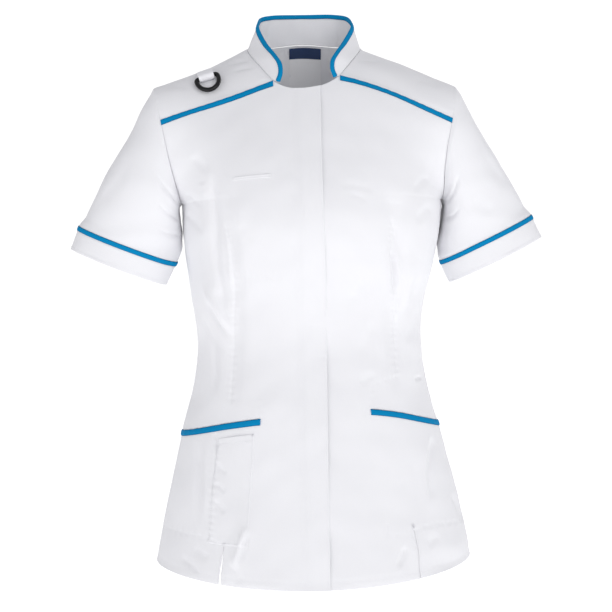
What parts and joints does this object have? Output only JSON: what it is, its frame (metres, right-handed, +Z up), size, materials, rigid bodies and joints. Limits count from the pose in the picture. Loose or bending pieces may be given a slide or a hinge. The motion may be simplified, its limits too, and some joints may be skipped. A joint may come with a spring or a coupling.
{
  "type": "medical tunic",
  "caption": "Short-sleeved medical tunic with an open stand collar, contrast piping, hip pockets, a slit chest pocket, hem vents and a swinging D-ring, filled out as worn.",
  "frame": {"origin": "middle of the neck opening, level with the tops of the two shoulders where they meet the collar, where the wearer's shoulders hold the tunic up", "axes": "+X to the wearer's left, -Y to the front, +Z up"},
  "size_m": [0.6603, 0.3099, 0.7871],
  "materials": {
    "cloth": "matt white twill",
    "trim_cloth": "matt blue twill",
    "label_tape": "woven satin tape",
    "loop_tape": "matt white twill",
    "ring_plastic": "satin black"
  },
  "bodies": {
    "garment": {"back": "cloth", "chest_pocket": "cloth", "chest_welt": "cloth", "collar": "cloth", "collar_binding": "trim_cloth", "cuff_band_left": "cloth", "cuff_band_right": "cloth", "cuff_piping_left": "trim_cloth", "cuff_piping_right": "trim_cloth", "front_left": "cloth", "front_right": "cloth", "hip_piping_left": "trim_cloth", "hip_piping_right": "trim_cloth", "hip_pocket_left": "cloth", "hip_pocket_right": "cloth", "neck_label": "label_tape", "pen_pocket": "cloth", "ring_tape": "loop_tape", "sleeve_left": "cloth", "sleeve_right": "cloth", "yoke_left": "cloth", "yoke_piping_left": "trim_cloth", "yoke_piping_right": "trim_cloth", "yoke_right": "cloth"},
    "ring": {"d_ring": "ring_plastic"}
  },
  "joints": [
    {"name": "ring_swing", "type": "hinge", "parent": "garment", "child": "ring", "pos_m": [-0.13594, -0.04409, -0.0402], "axis": [-0.9477, -0.0385, -0.3168], "range_deg": [0, 150]}
  ]
}
